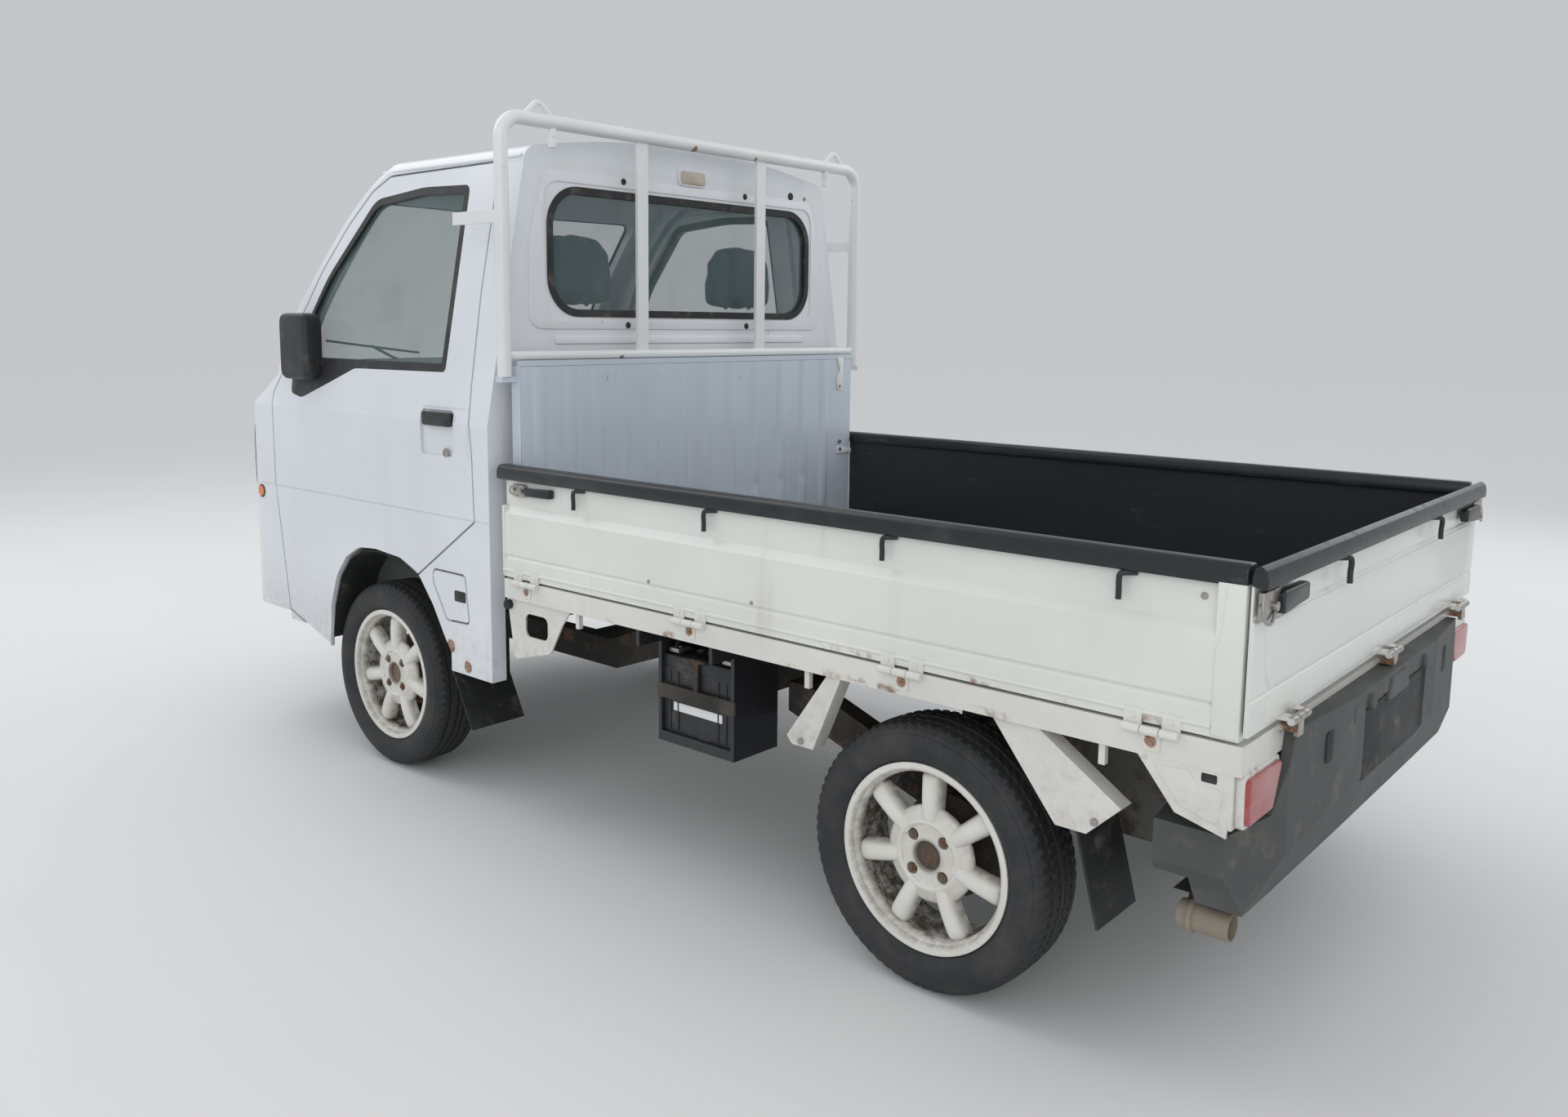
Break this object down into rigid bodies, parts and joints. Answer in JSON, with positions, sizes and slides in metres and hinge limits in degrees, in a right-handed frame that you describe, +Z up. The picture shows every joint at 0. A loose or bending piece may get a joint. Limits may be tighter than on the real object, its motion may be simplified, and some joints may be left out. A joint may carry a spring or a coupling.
{
  "type": "kei truck",
  "caption": "Small cab-over pickup with a drop-side bed, guard frame behind the cab, rear engine and swinging doors and gates.",
  "frame": {"origin": "on the ground under the middle of the overall length and width", "axes": "+X forward, +Y to the left, +Z up"},
  "size_m": [3.395, 1.519, 1.8599],
  "materials": {
    "white_paint": "gloss white body paint, weathered",
    "cream_paint": "white paint, slightly cream, chipped and dirty",
    "inner_white": "satin grey-white cab inside",
    "white_plastic": "white painted plastic",
    "pale_blue_paint": "matt pale blue-white paint with chips",
    "bed_black": "black bed coating, scratched",
    "chassis_black": "dusty black underbody paint",
    "rubber_black": "matt black rubber",
    "trim_black": "black moulded plastic",
    "dash_grey": "grained grey plastic",
    "seat_cloth": "dark blue-grey woven cloth",
    "glass": "light green tinted glass",
    "lamp_clear": "clear lamp lens",
    "lamp_red": "faded red lens",
    "bumper_grey": "weathered grey-black plastic",
    "battery_black": "black battery case",
    "engine_metal": "dull cast metal",
    "rusty_steel": "rusty steel",
    "tyre": "black tyre rubber",
    "rim_white": "cream-white painted alloy, brake dust"
  },
  "bodies": {
    "root": {"battery": "battery_black", "bed_floor": "bed_black", "bed_frame": "cream_paint", "cab_back": "white_paint", "cab_floor": "inner_white", "cab_front": "white_paint", "cab_glass": "glass", "cab_roof": "white_paint", "cab_sides": "white_paint", "dash": "dash_grey", "engine": "engine_metal", "exhaust": "rusty_steel", "frame": "chassis_black", "front_bumper": "white_plastic", "front_lamps": "lamp_clear", "fuel_tank": "chassis_black", "guard_frame": "white_paint", "headboard": "pale_blue_paint", "mud_flaps": "rubber_black", "rear_bumper": "bumper_grey", "rear_gasket": "rubber_black", "rear_lamps": "lamp_red", "seats": "seat_cloth", "suspension": "chassis_black"},
    "fuel_lid": {"fuel_lid": "white_paint"},
    "steering_wheel": {"steering_wheel": "dash_grey"},
    "tailgate": {"tailgate": "cream_paint", "tailgate_trim": "trim_black"},
    "door_l": {"door_l": "white_paint", "door_glass_l": "glass", "door_trim_l": "trim_black"},
    "side_gate_l": {"side_gate_l": "cream_paint", "side_gate_trim_l": "trim_black"},
    "knuckle_l": {"knuckle_l": "engine_metal"},
    "door_r": {"door_r": "white_paint", "door_glass_r": "glass", "door_trim_r": "trim_black"},
    "side_gate_r": {"side_gate_r": "cream_paint", "side_gate_trim_r": "trim_black"},
    "knuckle_r": {"knuckle_r": "engine_metal"},
    "wheel_fl": {"tyre_fl": "tyre", "rim_fl": "rim_white"},
    "wheel_fr": {"tyre_fr": "tyre", "rim_fr": "rim_white"},
    "wheel_rl": {"tyre_rl": "tyre", "rim_rl": "rim_white"},
    "wheel_rr": {"tyre_rr": "tyre", "rim_rr": "rim_white"}
  },
  "joints": [
    {"name": "steer_left", "type": "hinge", "parent": "root", "child": "knuckle_l", "pos_m": [0.8425, 0.606, 0.165], "axis": [0, -0.2508, 0.968], "range_deg": [-32, 32]},
    {"name": "steer_right", "type": "hinge", "parent": "root", "child": "knuckle_r", "pos_m": [0.8425, -0.606, 0.165], "axis": [0, 0.2508, 0.968], "range_deg": [-32, 32]},
    {"name": "steering_wheel_turn", "type": "hinge", "parent": "root", "child": "steering_wheel", "pos_m": [1.035, -0.33, 1.11], "axis": [-0.788, 0, 0.6157], "range_deg": [-448, 448]},
    {"name": "spin_front_left", "type": "hinge", "parent": "knuckle_l", "child": "wheel_fl", "pos_m": [0.8425, 0.6405, 0.272], "axis": [0, 1, 0], "continuous": true},
    {"name": "spin_front_right", "type": "hinge", "parent": "knuckle_r", "child": "wheel_fr", "pos_m": [0.8425, -0.6405, 0.272], "axis": [0, 1, 0], "continuous": true},
    {"name": "spin_rear_left", "type": "hinge", "parent": "root", "child": "wheel_rl", "pos_m": [-1.0425, 0.6405, 0.272], "axis": [0, 1, 0], "continuous": true},
    {"name": "spin_rear_right", "type": "hinge", "parent": "root", "child": "wheel_rr", "pos_m": [-1.0425, -0.6405, 0.272], "axis": [0, 1, 0], "continuous": true},
    {"name": "door_left_swing", "type": "hinge", "parent": "root", "child": "door_l", "pos_m": [1.409, 0.7345, 0.76], "axis": [0, 0, -1], "range_deg": [0, 68]},
    {"name": "door_right_swing", "type": "hinge", "parent": "root", "child": "door_r", "pos_m": [1.409, -0.7345, 0.76], "axis": [0, 0, 1], "range_deg": [0, 68]},
    {"name": "side_gate_left_drop", "type": "hinge", "parent": "root", "child": "side_gate_l", "pos_m": [-0.709, 0.745, 0.648], "axis": [-1, 0, 0], "range_deg": [0, 175]},
    {"name": "side_gate_right_drop", "type": "hinge", "parent": "root", "child": "side_gate_r", "pos_m": [-0.709, -0.745, 0.648], "axis": [1, 0, 0], "range_deg": [0, 175]},
    {"name": "tailgate_drop", "type": "hinge", "parent": "root", "child": "tailgate", "pos_m": [-1.686, 0, 0.668], "axis": [0, -1, 0], "range_deg": [0, 160]},
    {"name": "fuel_lid_swing", "type": "hinge", "parent": "root", "child": "fuel_lid", "pos_m": [0.51628, 0.733, 0.55518], "axis": [-0.5369, 0, -0.8437], "range_deg": [0, 90]}
  ],
  "couplings": [
    {"joint": "steer_right", "follows": "steer_left", "ratio": 1},
    {"joint": "steering_wheel_turn", "follows": "steer_left", "ratio": 14}
  ]
}
